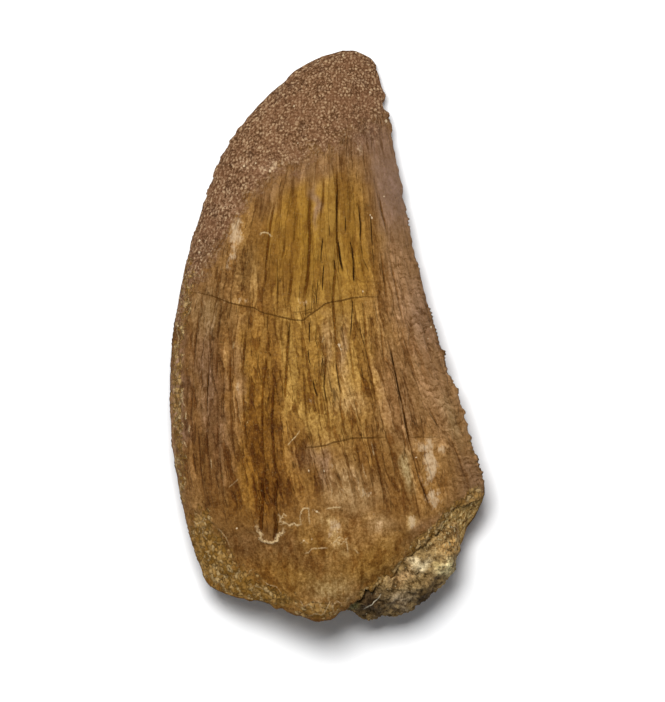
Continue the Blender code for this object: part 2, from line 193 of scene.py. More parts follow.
# Open cracks, thin and nearly black, in the same form
CRACKS = (
    (1.0, 0.07, 323, 238, 321.5, 252, 321, 263), (1.0, 0.06, 324, 264, 323, 278, 322.5, 291),
    (0.8, 0.05, 318.5, 276, 317, 292, 316, 309), (0.6, 0.05, 313, 284, 311, 314),
    (0.8, 0.06, 337.5, 190, 337, 215, 337, 242), (1.1, 0.09, 337.5, 238, 339.5, 250, 341, 261, 343, 271),
    (0.9, 0.06, 334.5, 260, 335.5, 270), (0.8, 0.06, 345.5, 217, 345.5, 232),
    (0.7, 0.05, 329.5, 225, 329.5, 237), (0.9, 0.06, 313.5, 291, 316, 297, 318.5, 304),
    (0.8, 0.06, 305.7, 303, 306, 317), (0.6, 0.05, 300, 286, 299, 300), (0.9, 0.06, 350, 241, 352.5, 252),
    (1.4, 0.11, 352, 247, 353.5, 262, 354, 282), (0.9, 0.06, 353, 300, 351.5, 323, 350.5, 337),
    (1.0, 0.06, 358.5, 204, 361, 224, 360.4, 240), (0.6, 0.05, 361, 244, 363, 259, 369, 272),
    (0.9, 0.06, 371, 216, 372.5, 246), (0.6, 0.05, 372.5, 248, 374, 264), (0.5, 0.05, 380.5, 262, 385, 284),
    (1.0, 0.07, 309.5, 322, 309.7, 343), (0.9, 0.06, 308.5, 350, 308.6, 358, 311, 366),
    (1.0, 0.08, 313, 380, 314.5, 388, 318, 397), (0.8, 0.06, 325, 372, 324, 387, 327, 403),
    (0.8, 0.06, 336, 362, 339, 384, 341, 394), (0.8, 0.07, 330, 380, 332, 392),
    (0.95, 0.07, 391, 350, 395.5, 372, 398.5, 388, 402, 403), (0.7, 0.06, 404, 410, 405.5, 422, 409, 440),
    (0.45, 0.05, 411, 448, 420, 480, 430, 506), (0.6, 0.06, 429, 412, 440, 428),
    (0.6, 0.05, 277, 262, 278, 282, 277, 300), (0.6, 0.05, 268, 316, 267, 330),
    (0.6, 0.06, 290, 322, 288, 343), (0.6, 0.05, 359, 318, 361, 334), (0.7, 0.06, 361, 366, 364, 384),
    (0.6, 0.05, 374, 300, 378, 322), (0.6, 0.05, 208.6, 372, 206.6, 404), (0.5, 0.05, 259, 352, 257, 378),
)
# Cracks that run across the crown
CROSS_CRACKS = (
    (0.95, 0.09, 184, 292, 200, 293, 213, 296.5, 230, 303, 245, 306.5, 254, 308, 262, 312.5, 283, 317.5, 294,
     320, 303, 320.5, 310, 315, 318, 309.5, 325, 304, 332, 302, 342, 300.5, 352, 298, 367, 296.5, 384, 298),
    (0.55, 0.07, 293, 313, 306, 311, 316, 308),
    (0.85, 0.09, 300, 447, 313, 447, 326, 445, 334, 442, 340, 441, 352, 438, 369, 437.5, 387, 437),
    (0.55, 0.08, 410, 437, 440, 437), (0.3, 0.06, 352, 276, 362, 282, 376, 281),
)
# Fine pale scratches and rims
SCRATCHES = (
    (1.0, 0.06, 288, 445, 292, 440, 296, 436, 300, 430),
    (1.0, 0.09, 260, 235, 263, 232.5, 268, 233, 272, 237),
    (1.3, 0.16, 257, 524, 258, 530, 262, 534, 260, 538, 265, 541, 272, 542, 277, 540, 277, 535, 283, 532,
     284, 527), (0.9, 0.11, 278, 513, 281, 517, 280, 521, 286, 522, 289, 525, 294, 523, 298, 525, 302, 523),
    (0.8, 0.08, 301, 524, 300, 515, 303, 508, 309, 507, 309, 516, 310, 524),
    (0.8, 0.07, 282, 517, 284, 513, 287, 516), (0.8, 0.09, 326, 508.5, 330, 507.3, 335, 507, 341, 506.5),
    (0.6, 0.07, 314, 509, 317, 511, 320, 513), (0.8, 0.07, 331, 544, 336, 540, 339, 536, 344, 539),
    (0.7, 0.07, 337, 541, 341, 544, 346, 538, 347, 545, 348, 552), (0.6, 0.07, 354, 548, 359, 553),
    (0.6, 0.08, 304, 553, 308, 552, 312, 548, 328, 547), (0.5, 0.06, 300, 543, 304, 540, 308, 543),
    (0.6, 0.07, 192, 520, 196, 524, 203, 521, 206, 515), (0.6, 0.07, 202, 527, 203, 534, 207, 540),
    (0.5, 0.06, 218, 528, 226, 537, 230, 547), (0.5, 0.06, 248, 590, 254, 585, 262, 588, 271, 592),
    (0.5, 0.06, 262, 580, 268, 584, 276, 586, 282, 594), (0.7, 0.07, 300, 600, 304, 606, 309, 603, 313, 609),
    (0.8, 0.07, 308, 616, 315, 612, 322, 614, 326, 609, 330, 601, 328, 596),
    (0.7, 0.07, 318, 600, 322, 606, 320, 611), (0.7, 0.07, 334, 612, 332, 605, 337, 600, 342, 603),
    (0.8, 0.07, 181, 389, 184, 394, 183, 402, 186, 407), (0.9, 0.07, 186.5, 411, 186.2, 420),
    (0.9, 0.07, 190, 425, 189, 433), (0.8, 0.07, 184.5, 441, 187, 447),
    (0.7, 0.06, 178, 322, 177, 330, 179, 338, 178, 349), (0.7, 0.06, 202.8, 270, 202.5, 276),
    (0.6, 0.06, 234.5, 342, 233, 349), (0.6, 0.05, 211, 458, 212, 469),
    (0.5, 0.06, 229, 487, 235, 482, 239, 478), (0.6, 0.06, 371, 441, 374, 455),
    (0.5, 0.06, 362, 463, 364, 472, 367, 479), (0.5, 0.06, 330, 482, 332, 490, 331, 497),
    (0.5, 0.06, 324, 336, 322, 343),
)

# The tip's granular crust ends on this line of the plan, and the enamel ends on the other
CRUST_LINE = (
    (176, 318), (188, 300), (198, 278), (208, 262), (220, 244), (232, 222), (242, 205), (252, 193),
    (262, 182), (276, 172), (292, 163), (310, 153), (330, 145), (348, 138), (362, 130), (376, 122),
    (398, 112),
)
LEDGE_LINE = (
    (178, 506), (198, 512), (214, 524), (228, 534), (245, 530), (256, 532), (261, 542), (271, 545),
    (280, 540), (286, 524), (300, 522), (311, 518), (330, 507), (350, 508), (372, 516), (392, 528),
    (412, 532), (432, 520), (458, 514),
)

# Named colours
COLOURS = {
    "ochre": "956b22", "straw": "ac843e", "amber": "83581a", "brown": "8a6438", "umber": "7c5018",
    "russet": "9c7650", "mauve": "8a6c57", "plum": "7b5d49", "tan": "8e6634", "sienna": "8a6024",
    "olive": "a0875a", "gold": "936c2a", "cream": "bd9c66", "fawn": "a9875a", "taupe": "73502a",
}
# Broad patches of colour: x, y, half width, half height, colour, strength, and slant in degrees if any
PATCHES = (
    (208, 290, 42, 120, "brown", 0.95, -12), (200, 440, 34, 110, "brown", 0.95, 5),
    (250, 210, 30, 30, "brown", 0.5, 20), (318, 245, 70, 92, "ochre", 1.0, 3),
    (315, 375, 62, 76, "straw", 1.0, 3), (258, 400, 28, 90, "amber", 0.85), (252, 480, 44, 50, "amber", 0.8),
    (270, 505, 10, 38, "umber", 1.0), (214, 390, 12, 70, "plum", 0.4), (240, 380, 8, 50, "ochre", 0.4),
    (315, 207, 4, 19, "mauve", 0.7, -3), (330, 350, 7, 36, "plum", 0.45), (345, 400, 20, 14, "mauve", 0.3),
    (391, 188, 22, 72, "mauve", 1.0, 11), (366, 136, 24, 16, "plum", 0.8), (350, 150, 22, 9, "mauve", 0.35),
    (410, 300, 24, 70, "russet", 0.95, 14), (426, 322, 14, 36, "mauve", 0.5, 14),
    (440, 390, 24, 60, "russet", 0.7, 14), (468, 480, 18, 34, "russet", 0.6),
    (452, 420, 7, 22, "olive", 0.4, 14), (396, 395, 20, 60, "russet", 0.6, 10),
    (350, 478, 60, 34, "sienna", 0.8), (406, 469, 6, 21, "olive", 1.0, 12), (331, 528, 10, 14, "cream", 0.65),
    (344, 548, 9, 7, "cream", 0.5), (411, 521, 6, 8, "cream", 0.9), (346, 486, 18, 26, "fawn", 1.0),
    (372, 488, 16, 18, "fawn", 0.75, -15), (312, 458, 18, 12, "mauve", 0.4), (326, 468, 6, 22, "mauve", 0.5),
    (345, 352, 6, 30, "mauve", 0.5), (237, 380, 6, 46, "mauve", 0.35), (205, 360, 10, 60, "mauve", 0.3),
    (225, 455, 14, 40, "plum", 0.3), (330, 235, 14, 60, "straw", 0.45, -3),
    (290, 260, 8, 50, "umber", 0.3, -6), (180, 400, 9, 90, "mauve", 0.8), (215, 565, 22, 30, "gold", 0.8, 25),
    (258, 592, 34, 12, "gold", 0.7, -15), (334, 588, 24, 14, "olive", 0.7), (318, 578, 12, 10, "olive", 0.35),
    (300, 560, 40, 30, "gold", 0.7), (248, 542, 46, 22, "taupe", 0.85), (312, 562, 26, 14, "taupe", 0.7),
    (378, 568, 30, 14, "tan", 0.5, 38), (318, 548, 8, 22, "umber", 0.3), (288, 546, 18, 16, "taupe", 0.7),
    (262, 572, 34, 14, "umber", 0.4), (380, 522, 14, 9, "fawn", 0.65), (372, 562, 38, 20, "gold", 0.5, 38),
    (430, 524, 26, 9, "russet", 0.6, 40), (318, 612, 24, 9, "umber", 0.5),
    (314, 170, 48, 17, "mauve", 0.45, 12), (266, 200, 16, 22, "mauve", 0.3), (249, 270, 14, 26, "olive", 0.3),
    (211, 315, 20, 24, "olive", 0.3), (472, 484, 12, 24, "plum", 0.35), (392, 470, 10, 34, "tan", 0.45),
)
# Pale, chalky places, and sandy crust, each in the form of a patch without its colour
PALE = (
    (235, 240, 8, 27, 0.9, -8), (236, 301, 14, 5, 0.7), (228, 268, 14, 12, 0.35), (426, 446, 15, 10, 0.85),
    (430, 464, 9, 20, 1.05, 12), (434, 497, 13, 12, 0.9), (442, 448, 7, 9, 0.7), (424, 480, 8, 12, 0.6),
    (411, 521, 6, 9, 1.1), (341, 493, 10, 11, 0.5), (367, 491, 8, 8, 0.5), (330, 470, 6, 18, 0.5),
    (380, 492, 4, 9, 0.4), (376, 519, 12, 7, 0.4, -20), (333, 526, 8, 13, 0.75), (340, 542, 12, 8, 0.45),
    (315, 209, 3.5, 17, 0.3, -3), (406, 469, 5, 18, 0.5, 12), (341, 350, 4, 12, 0.45), (238, 388, 5, 10, 0.5),
    (233, 345, 3, 10, 0.5), (270, 167, 16, 6, 0.6, 15), (247, 164, 8, 6, 0.5, 15), (300, 304, 14, 8, 0.4),
    (362, 148, 8, 8, 0.5), (376, 142, 5, 5, 0.6), (231, 205, 12, 16, 0.35, 20), (350, 455, 8, 10, 0.3),
    (378, 590, 10, 8, 0.3), (244, 398, 5, 14, 0.35), (240, 440, 6, 30, 0.25), (310, 400, 5, 22, 0.3),
    (347, 398, 22, 4, 0.35), (296, 350, 6, 24, 0.25), (330, 590, 20, 9, 0.4), (208, 420, 4, 14, 0.3),
    (436, 526, 20, 8, 0.45, 42), (406, 555, 20, 7, 0.35, 42),
)
SAND = (
    (212, 556, 18, 36, 1.0, 25), (236, 580, 26, 15, 0.95, -25), (266, 595, 34, 10, 0.85, -16),
    (202, 524, 12, 18, 0.75), (318, 610, 26, 10, 0.8), (178, 400, 7, 100, 0.62), (186, 300, 7, 60, 0.5, -8),
    (182, 480, 6, 40, 0.5), (374, 586, 24, 5, 0.85, 36), (404, 563, 24, 6, 0.8, 42),
    (428, 541, 24, 9, 1.2, 42), (455, 516, 22, 11, 1.3, 38), (474, 498, 10, 12, 1.1),
    (472, 450, 5, 30, 0.35, 14),
)
# Painted highlights, small bright glints: x, y, radius
GLINTS = (
    (370.5, 215.5, 1.2), (372, 218, 1.0), (363, 291, 1.2), (328, 334, 1.1), (339, 345, 1.6),
    (340.5, 349, 1.3), (324, 470, 1.2), (309, 470.5, 1.3), (244, 166, 1.2), (256, 163, 1.0), (270, 171, 1.4),
    (276, 169, 1.1), (294, 106, 1.1), (298, 143, 0.9), (370, 92, 1.0), (386, 121, 1.6), (343, 55, 1.2),
    (356, 52, 1.2), (318, 61, 0.9), (304, 540, 1.0), (312, 538, 1.1), (431, 327, 1.2), (428, 338, 1.0),
    (200, 241, 1.3), (199.5, 253, 1.5), (185.5, 275, 1.2), (183, 284, 1.0), (179.5, 298, 1.1),
    (178, 313, 1.2), (178, 326, 1.1), (237, 528, 1.2), (317, 511, 1.2), (180, 523, 1.0), (200, 567, 1.3),
    (201, 571, 1.1), (384, 196, 0.9), (416, 457, 1.0),
)
# Colours of the sediment, its own base colour first, then places in the same form as PATCHES
MATRIX_BASE = "7a643f"
MATRIX_PATCHES = (
    (370, 602, 20, 18, "463623", 1.0, 25), (352, 604, 5, 6, "66653f", 0.8),
    (404, 596, 17, 10, "74644b", 0.95, 25), (403, 603, 11, 7, "8f7d62", 0.85, 15),
    (401, 574, 16, 6, "a08259", 0.85, 40), (424, 597, 11, 5, "3a2c1b", 0.95, 38),
    (430, 581, 18, 7, "76603e", 0.95, 36), (421, 563, 9, 5, "b8a885", 1.0, 32),
    (409, 561, 11, 4, "4a3718", 0.85, 40), (437, 562, 6, 5, "6a5c2c", 0.8), (445, 566, 9, 10, "fff2ba", 1.0),
    (451, 540, 11, 30, "9a7847", 0.95, -22),
)
MATRIX_SCRATCHES = ((1.0, 0.06, 363, 609, 368, 606, 372, 604, 374, 601, 378, 598, 381, 593),)
# Where the enamel is smooth, and where it is wrinkled left of the crown's middle
SMOOTH = (315, 235, 72, 84)
SMOOTH_RIM = (392, 190, 20, 62, 10)
WRINKLED = (236, 272, 16, 26)
# The long crack's line at one height, and how far it leans for each unit further down
LONG_CRACK = (388, 338, 0.25)
# The golden upper end of the sediment starts on a line through this place, with this lean
GOLDEN = (432, 548, 0.9)
PAINT = 0.72  # albedo of a colour, as a share of how bright it looks in this light
GLOSS = 0.05  # specular level of both materials


def srgb(code):
    """The paint, in linear colour, that looks like this six-digit code in the studio's light."""
    channels = [int(code[k : k + 2], 16) / 255 for k in (0, 2, 4)]
    return tuple(PAINT * (c / 12.92 if c < 0.04045 else ((c + 0.055) / 1.055) ** 2.4) for c in channels)


def smooth(knots, values, at):
    """A cubic curve through the values at the knots, read at the given places."""
    knots, values = np.asarray(knots, float), np.asarray(values, float)
    slopes = np.gradient(values, knots)
    cell = np.clip(np.searchsorted(knots, at, side="right") - 1, 0, len(knots) - 2)
    width = knots[cell + 1] - knots[cell]
    f = np.clip((at - knots[cell]) / width, 0.0, 1.0)
    start = values[cell] * (1 + 2 * f) + slopes[cell] * width * f
    end = values[cell + 1] * (3 - 2 * f) + slopes[cell + 1] * width * (f - 1)
    return start * (1 - f) ** 2 + end * f**2


def ramp(x, low, high):
    """0 below low, 1 above high and an S-curve between."""
    f = np.clip((x - low) / (high - low), 0.0, 1.0)
    return f * f * (3 - 2 * f)


def noise(u, v, seed):
    """Smooth noise from -1 to 1 whose lumps are one unit apart."""
    grid = np.random.default_rng(seed).uniform(-1, 1, (SEED_GRID, SEED_GRID))
    i, j = np.floor(u).astype(int), np.floor(v).astype(int)
    f, g = u - i, v - j
    f, g = f * f * (3 - 2 * f), g * g * (3 - 2 * g)
    i, j, next_i, next_j = i % SEED_GRID, j % SEED_GRID, (i + 1) % SEED_GRID, (j + 1) % SEED_GRID
    near = grid[i, j] * (1 - f) + grid[next_i, j] * f
    far = grid[i, next_j] * (1 - f) + grid[next_i, next_j] * f
    return near * (1 - g) + far * g


def noise_3d(points, size, seed):
    """Smooth noise from -1 to 1 in space, with lumps of the given size."""
    grid = np.random.default_rng(seed).uniform(-1, 1, (SEED_BLOCK, SEED_BLOCK, SEED_BLOCK))
    scaled = points / size
    low = np.floor(scaled).astype(int)
    f = scaled - low
    f = f * f * (3 - 2 * f)
    total = 0.0
    for step in np.ndindex(2, 2, 2):
        weight = np.prod(np.abs(1 - np.array(step) - f), axis=-1)
        corner = grid[tuple(np.moveaxis((low + np.array(step)) % SEED_BLOCK, -1, 0))]
        total = total + weight * corner
    return total


def layered(points, size, octaves, seed):
    """Noise of several sizes, each half as large and half as strong as the one before."""
    return sum(noise_3d(points, size / 2**k, seed + k) / 2**k for k in range(octaves))


def pebbles(points, size, seed):
    """Rounded grains that touch: 1 on top of a grain to 0 in the gaps, and a random tone for each grain."""
    random = np.random.default_rng(seed)
    spots = random.uniform(0.05, 0.95, (PEBBLE_BLOCK,) * 3 + (3,))
    tones = random.uniform(0, 1, (PEBBLE_BLOCK,) * 3)
    scaled = points / size
    low = np.floor(scaled).astype(int)
    first = np.full(points.shape[:-1], 9.0)
    second = first.copy()
    tone = np.zeros(first.shape)
    for step in np.ndindex(3, 3, 3):
        cell = low + np.array(step) - 1
        index = tuple(np.moveaxis(cell % PEBBLE_BLOCK, -1, 0))
        distance = np.linalg.norm(cell + spots[index] - scaled, axis=-1)
        second = np.minimum(second, np.maximum(first, distance))
        tone = np.where(distance < first, tones[index], tone)
        first = np.minimum(first, distance)
    return np.clip((second - first) / 0.55, 0.0, 1.0) ** 0.6, tone


def plan(x, y):
    """A place on the plan from millimetres."""
    return x / UNIT + CENTRE[0], CENTRE[1] - y / UNIT


def blob(x, y, middle_x, middle_y, half_x, half_y, slant=0):
    """1 at the middle of an ellipse on the plan, falling softly to 0 a little outside it."""
    turn = math.radians(slant)
    across = (x - middle_x) * math.cos(turn) - (y - middle_y) * math.sin(turn)
    down = (x - middle_x) * math.sin(turn) + (y - middle_y) * math.cos(turn)
    return np.exp(-(((across / half_x) ** 2 + (down / half_y) ** 2) ** 1.3))


def strongest(x, y, places):
    """How strong the strongest of some soft places is at each point of the plan."""
    total = np.zeros(x.shape)
    for middle_x, middle_y, half_x, half_y, power, *slant in places:
        total = np.maximum(total, power * blob(x, y, middle_x, middle_y, half_x, half_y, *slant))
    return total


def painted(x, y, base, patches):
    """The base colour with soft patches of other colours laid over it in turn."""
    tint = np.broadcast_to(np.array(srgb(base)), (*x.shape, 3)).copy()
    for middle_x, middle_y, half_x, half_y, colour, power, *slant in patches:
        weight = power * blob(x, y, middle_x, middle_y, half_x, half_y, *slant)[..., None]
        tint = tint * (1 - weight) + np.array(srgb(COLOURS.get(colour, colour))) * weight
    return tint


def lines(x, y, marks):
    """How many half widths off the nearest line each place is, signed by side, and the line's strength."""
    nearest = np.full(x.shape, 99.0)
    strength = np.zeros(x.shape)
    for power, half_width, *numbers in marks:
        points = np.array(numbers, float).reshape(-1, 2)
        length = np.concatenate([[0.0], np.cumsum(np.hypot(*np.diff(points, axis=0).T))])
        for k, (start, end) in enumerate(zip(points[:-1], points[1:])):
            run = end - start
            f = np.clip(((x - start[0]) * run[0] + (y - start[1]) * run[1]) / (run @ run), 0.0, 1.0)
            off_x, off_y = x - start[0] - f * run[0], y - start[1] - f * run[1]
            distance = np.hypot(off_x, off_y) * UNIT
            side = np.where(run[0] * off_y < run[1] * off_x, -1.0, 1.0)
            along = (length[k] + f * (length[k + 1] - length[k])) / length[-1]
            taper = np.clip(np.minimum(along, 1 - along) * 6, 0.0, 1.0) ** 0.5
            reach = 1 - ramp(distance, 1.5 * half_width + 0.1, 1.5 * half_width + 0.4)
            closer = distance / half_width < np.abs(nearest)
            nearest = np.where(closer, side * distance / half_width, nearest)
            strength = np.where(closer, power * taper * reach, strength)
    return nearest, strength


# Distance of each station from the tip, along the line midway between the two edges
MIDLINE = (STATIONS[:, :2] + STATIONS[:, 2:]) / 2
DEPTHS = np.concatenate([[0.0], np.cumsum(np.hypot(*np.diff(MIDLINE, axis=0).T))])


def denticles(edge, depth):
    """How far the saw teeth of an edge stand out at a distance from the tip."""
    column = 0 if edge == "mesial" else 2
    along = np.concatenate([[0.0], np.cumsum(np.hypot(*np.diff(STATIONS[:, column : column + 2], axis=0).T))])
    turn = smooth(DEPTHS, along, depth) / DENTICLE_PITCH
    turn = turn + 0.4 * noise(turn / 2.3, turn * 0.0, 31 + column)
    wear = np.clip(0.35 + 0.85 * noise(turn / 2.6, turn * 0.0, 11 + column), 0.0, 1.0)
    fresh = MESIAL_WEAR if edge == "mesial" else 1.0
    height = DENTICLE_HEIGHT * fresh * wear * ramp(depth, *DENTICLES_FROM)
    out = height * (0.5 - 0.5 * np.cos(2 * math.pi * turn))
    for nicked, place, length, bite in NICKS:
        if nicked == edge:
            out = out - bite * np.exp(-(((depth - place) / length) ** 2))
    return out


def thickness(depth):
    """The crown's thickness at a distance from the tip."""
    u = np.clip(depth / THICKEST_AT, 0.0, 1.0)
    beyond = np.clip(depth - THICKEST_AT, 0.0, None) / THICKEST_AT
    return THICKNESS * (1 - (1 - u) ** TIP_POWER) ** ROUND_POWER * (1 - THINNING * beyond**2)


def crown_point(side, s, depth, end):
    """Points of the front (side 1) or back (side -1) face. s runs from the mesial edge to the distal one."""
    edges = np.stack([smooth(DEPTHS, column, depth) for column in STATIONS.T])
    mesial, distal = edges[:2], edges[2:]
    across = distal - mesial
    width = np.hypot(*across)
    to_mesial, to_distal = s * width, (1 - s) * width
    stand_out = denticles("distal", depth)
    for place, height, length in EDGE_NUBS:
        stand_out = stand_out + height * np.exp(-(((distal[1] - place) / length) ** 2))
    stand_out = stand_out * np.exp(-to_distal / DENTICLE_BAND)
    stand_out = stand_out - denticles("mesial", depth) * np.exp(-to_mesial / DENTICLE_BAND)
    granular = EDGE_ROUGHNESS * (1 - 0.7 * ramp(depth, *ROUGH_TO))
    stand_out = stand_out + granular * noise(depth * 1.3, depth * 0.0, 43) * np.exp(-to_distal / ROUGH_BAND)
    stand_out = stand_out + granular * noise(depth * 1.2, depth * 0.0, 44) * np.exp(-to_mesial / ROUGH_BAND)
    x, y = mesial + across * (s + stand_out / width)
    grown = TIP_GROWN + 0.8 * EDGE_ROUGHNESS * noise(s * 2.2 + 0.5, s * 0.0, 45)
    y = y + grown * np.exp(-depth / TIP_REACH)

    thick = thickness(depth)
    lift = TIP_LIFT * np.clip(1 - depth / LIFT_REACH, 0.0, None) ** 2
    lift = lift - REST_CUT * ramp(depth, *REST_FROM)
    edge_height = lift + BACK_SHARE * thick + TWIST * (s - 0.5) * ramp(depth, 0.0, TWIST_REACH)
    lens = np.clip(4 * s * (1 - s), 0.0, 1.0) ** LENS_POWER
    share = 1 - BACK_SHARE if side > 0 else BACK_SHARE
    worn = 1 - RIM_DROP * np.exp(-np.clip(end - depth, 0.0, None) / RIM_REACH)
    z = edge_height + side * share * thick * lens * worn
    return np.stack([x, y, z], axis=-1)


def break_depth(side, s):
    """Distance from the tip at which each column meets the break's edge."""
    edge = np.array(FRONT_BREAK if side > 0 else BACK_BREAK)
    depth = np.linspace(50.0, DEPTHS[-1], 900)
    s, depth = np.meshgrid(s, depth, indexing="ij")
    x, y, _ = np.moveaxis(crown_point(side, s, depth, depth + 99.0), -1, 0)
    fade = np.clip(4 * s * (1 - s), 0.0, 1.0)
    calm = 1 - 0.9 * np.exp(-(((x + 1.2) / 2.2) ** 2))
    jitter = BREAK_JITTER * calm * fade * noise(x * 1.1, x * 0.0, 5 + side)
    limit = np.interp(x, edge[:, 0], edge[:, 1]) + jitter
    crumbs = ramp(x, 1.0, 5.0) * (0.6 * noise(x * 1.9, x * 0.0, 15) + 0.5 * noise(x * 4.3, x * 0.0, 16))
    limit = limit + (side > 0) * BREAK_CRUMBS * fade * (crumbs + 0.3 * ramp(x, 1.0, 5.0))
    passed = y < limit
    return depth[np.arange(len(s)), np.argmax(passed, axis=1)]


def normals_of(points):
    """Unit normals of a grid of points, towards the side on which its rows and columns turn left."""
    along = np.gradient(points, axis=1)
    across = np.gradient(points, axis=0)
    normal = np.cross(along, across)
    return normal / np.maximum(np.linalg.norm(normal, axis=-1, keepdims=True), 1e-9)


def marks_at(points, side):
    """The attributes of the crown's surface at its points, apart from the ones that follow its grid."""
    x, y = plan(points[..., 0], points[..., 1])
    wander = 5 * noise(x / 16, y / 16, 71) + 2.5 * noise(x / 6, y / 6, 72)
    crust_line = np.array(CRUST_LINE)
    ledge_line = np.array(LEDGE_LINE)
    glint = np.zeros(x.shape)
    for glint_x, glint_y, radius in GLINTS:
        glint = np.maximum(glint, np.exp(-(((x - glint_x) ** 2 + (y - glint_y) ** 2) / radius**2)))
    # Fine streaks are weak in the golden middle and beyond the long crack, where wrinkles cross instead.
    crack_x, crack_y, lean = LONG_CRACK
    beyond = ramp(x + lean * (crack_y - y) - crack_x + 2 * wander, -4.0, 34.0) * ramp(y, 215.0, 275.0)
    streaky = 1 - 0.5 * blob(x, y, *SMOOTH) - 0.8 * blob(x, y, *SMOOTH_RIM)
    marks = {
        "crust": (np.interp(x, crust_line[:, 0], crust_line[:, 1]) - y + wander) * UNIT,
        "bare": (y - np.interp(x, ledge_line[:, 0], ledge_line[:, 1]) + 0.4 * wander) * UNIT,
        "tint": painted(x + wander, y + wander, COLOURS["tan"], PATCHES),
        "pale": strongest(x, y, PALE),
        "sand": strongest(x, y, SAND),
        "glint": glint,
        "streaky": np.maximum(streaky, 0.0) * (1 - 0.45 * beyond),
        "wrinkled": np.maximum(beyond, 0.8 * blob(x, y, *WRINKLED)),
    }
    marks_x, marks_y, scratches = x, y, SCRATCHES
    if side < 0:
        marks_x, marks_y, scratches = BACK_TURN - x + BACK_SLANT * (y - BACK_LEVEL), y - BACK_RISE, ()
        for name, share in (("pale", BACK_PALE), ("sand", BACK_SAND), ("glint", 0.0)):
            marks[name] = share * marks[name]
    coarse, _ = pebbles(points, 0.85, 201)
    small, _ = pebbles(points, 0.46, 202)
    marks["grain"] = small + 0.65 * (coarse - small) * ramp(marks["sand"], 0.15, 0.5)
    for name, places, table in (
        ("streak", (marks_x, marks_y), STREAKS),
        ("crack", (marks_x, marks_y), CRACKS),
        ("cross", (marks_x, marks_y), CROSS_CRACKS),
        ("scratch", (x, y), scratches),
    ):
        marks[name], marks[name + "_power"] = lines(*places, table)
    return marks


def spread(count, ease):
    """Places from 0 to 1 that lie closer together at both ends."""
    u = np.linspace(0, 1, count + 1)
    return u - ease * np.sin(2 * math.pi * u) / (2 * math.pi)


def crown_wall(side):
    """The grid of points of one face, with its attributes."""
    s = spread(CROWN_COLUMNS, 0.35)
    end = break_depth(side, s)
    end[[0, -1]] = break_depth(1, s[[0, -1]])
    s, v = np.meshgrid(s, spread(CROWN_ROWS, 0.4), indexing="ij")
    end = np.broadcast_to(end[:, None], s.shape)
    points = crown_point(side, s, v * end, end)
    marks = marks_at(points, side)
    seam = ramp(s, 0.0, 0.03) * ramp(1 - s, 0.0, 0.03) * ramp(v, 0.0, 0.012) * ramp(1 - v, 0.0, 0.012)

    x, y = points[..., 0], points[..., 1]
    crusted = ramp(marks["crust"], -0.8, 0.9)
    bared = ramp(marks["bare"], -0.35, 0.35)
    flow_x, flow_y = s * FLOW_WIDTH, v * end
    bands = noise(flow_x / 1.5, flow_y / 26, 82) + 0.5 * noise(flow_x / 0.6, flow_y / 9, 83)
    relief = BAND_RELIEF * bands * (1 - crusted) * (1 - bared)
    for name, height, reach, most in LINE_RELIEF:
        relief += height * np.minimum(marks[name + "_power"], most) * np.exp(-((marks[name] / reach) ** 2))
    relief += crusted * (0.02 + 0.07 * noise(x / 1.5, y / 1.5, 21) + CRUST_GRAINS * marks["grain"])
    relief += bared * (BARE_RELIEF * layered(points, 2.4, 3, 85) - LEDGE_STEP)
    relief += marks["sand"] * (SAND_GRAINS * marks["grain"] + SAND_LUMPS * layered(points, 2.0, 2, 88))
    relief += FINE_RELIEF * layered(points, 1.6, 3, 91)
    scale = 1.0 if side > 0 else BACK_RELIEF
    points = points + normals_of(points) * side * (scale * relief * seam)[..., None]
    marks["flow"] = np.stack([flow_x, flow_y, np.full(s.shape, 10.0 * side)], axis=-1)
    marks["broken"] = np.zeros(s.shape)
    return points, marks


def broken_face(front, back):
    """The grid between the two faces' ends: hollowed at the middle, and rough."""
    r = np.linspace(0, 1, BREAK_ROWS + 1)[None, :, None]
    # The break first runs outward and then down, so that it looks up a little.
    share = np.concatenate([1 - (1 - r) ** 1.5, 1 - (1 - r) ** 1.5, r**1.35], axis=2)
    face = front[:, -1:, :] * (1 - share) + back[:, -1:, :] * share
    u = np.linspace(0, 1, len(front))[:, None]
    across = 4 * r[..., 0] * (1 - r[..., 0])
    inside = (4 * u * (1 - u)) ** 0.5 * across**0.7
    rough = BREAK_RELIEF * noise(face[..., 0] / 1.6, face[..., 2] / 1.6, 51) + 0.6 * layered(face, 1.1, 3, 52)
    face[..., 1] += inside * (BREAK_DIP + rough)
    marks = marks_at(face, 1)
    marks["grain"], _ = pebbles(face, 0.7, 203)
    face[..., 1] -= 0.35 * inside * marks["grain"]
    for name in CROWN_ONLY:
        marks[name] = marks[name] * 0.0
    marks["crust"] = np.full(inside.shape, -9.0)
    marks["bare"] = np.full(inside.shape, 9.0)
    marks["flow"] = np.stack([face[..., 0], face[..., 2], face[..., 1] * 0.0 + 30.0], axis=-1)
    marks["broken"] = ramp(across, 0.0, 0.15) * np.ones(inside.shape)
    return face, marks


def grid_faces(shape, first):
    """Four-sided faces of a grid of points that are numbered row by row from first."""
    number = first + np.arange(shape[0] * shape[1]).reshape(shape[:2])
    corners = (number[:-1, :-1], number[1:, :-1], number[1:, 1:], number[:-1, 1:])
    return np.stack(corners, axis=-1).reshape(-1, 4)


def add_attribute(mesh, name, values):
    """A point attribute from an array with one row for each vertex."""
    if name == "tint":
        values = np.concatenate([values, np.ones((len(values), 1), np.float32)], axis=1)
        kind, field = "FLOAT_COLOR", "color"
    elif values.shape[1] == 3:
        kind, field = "FLOAT_VECTOR", "vector"
    else:
        kind, field = "FLOAT", "value"
    mesh.attributes.new(name, kind, "POINT").data.foreach_set(field, values.ravel())


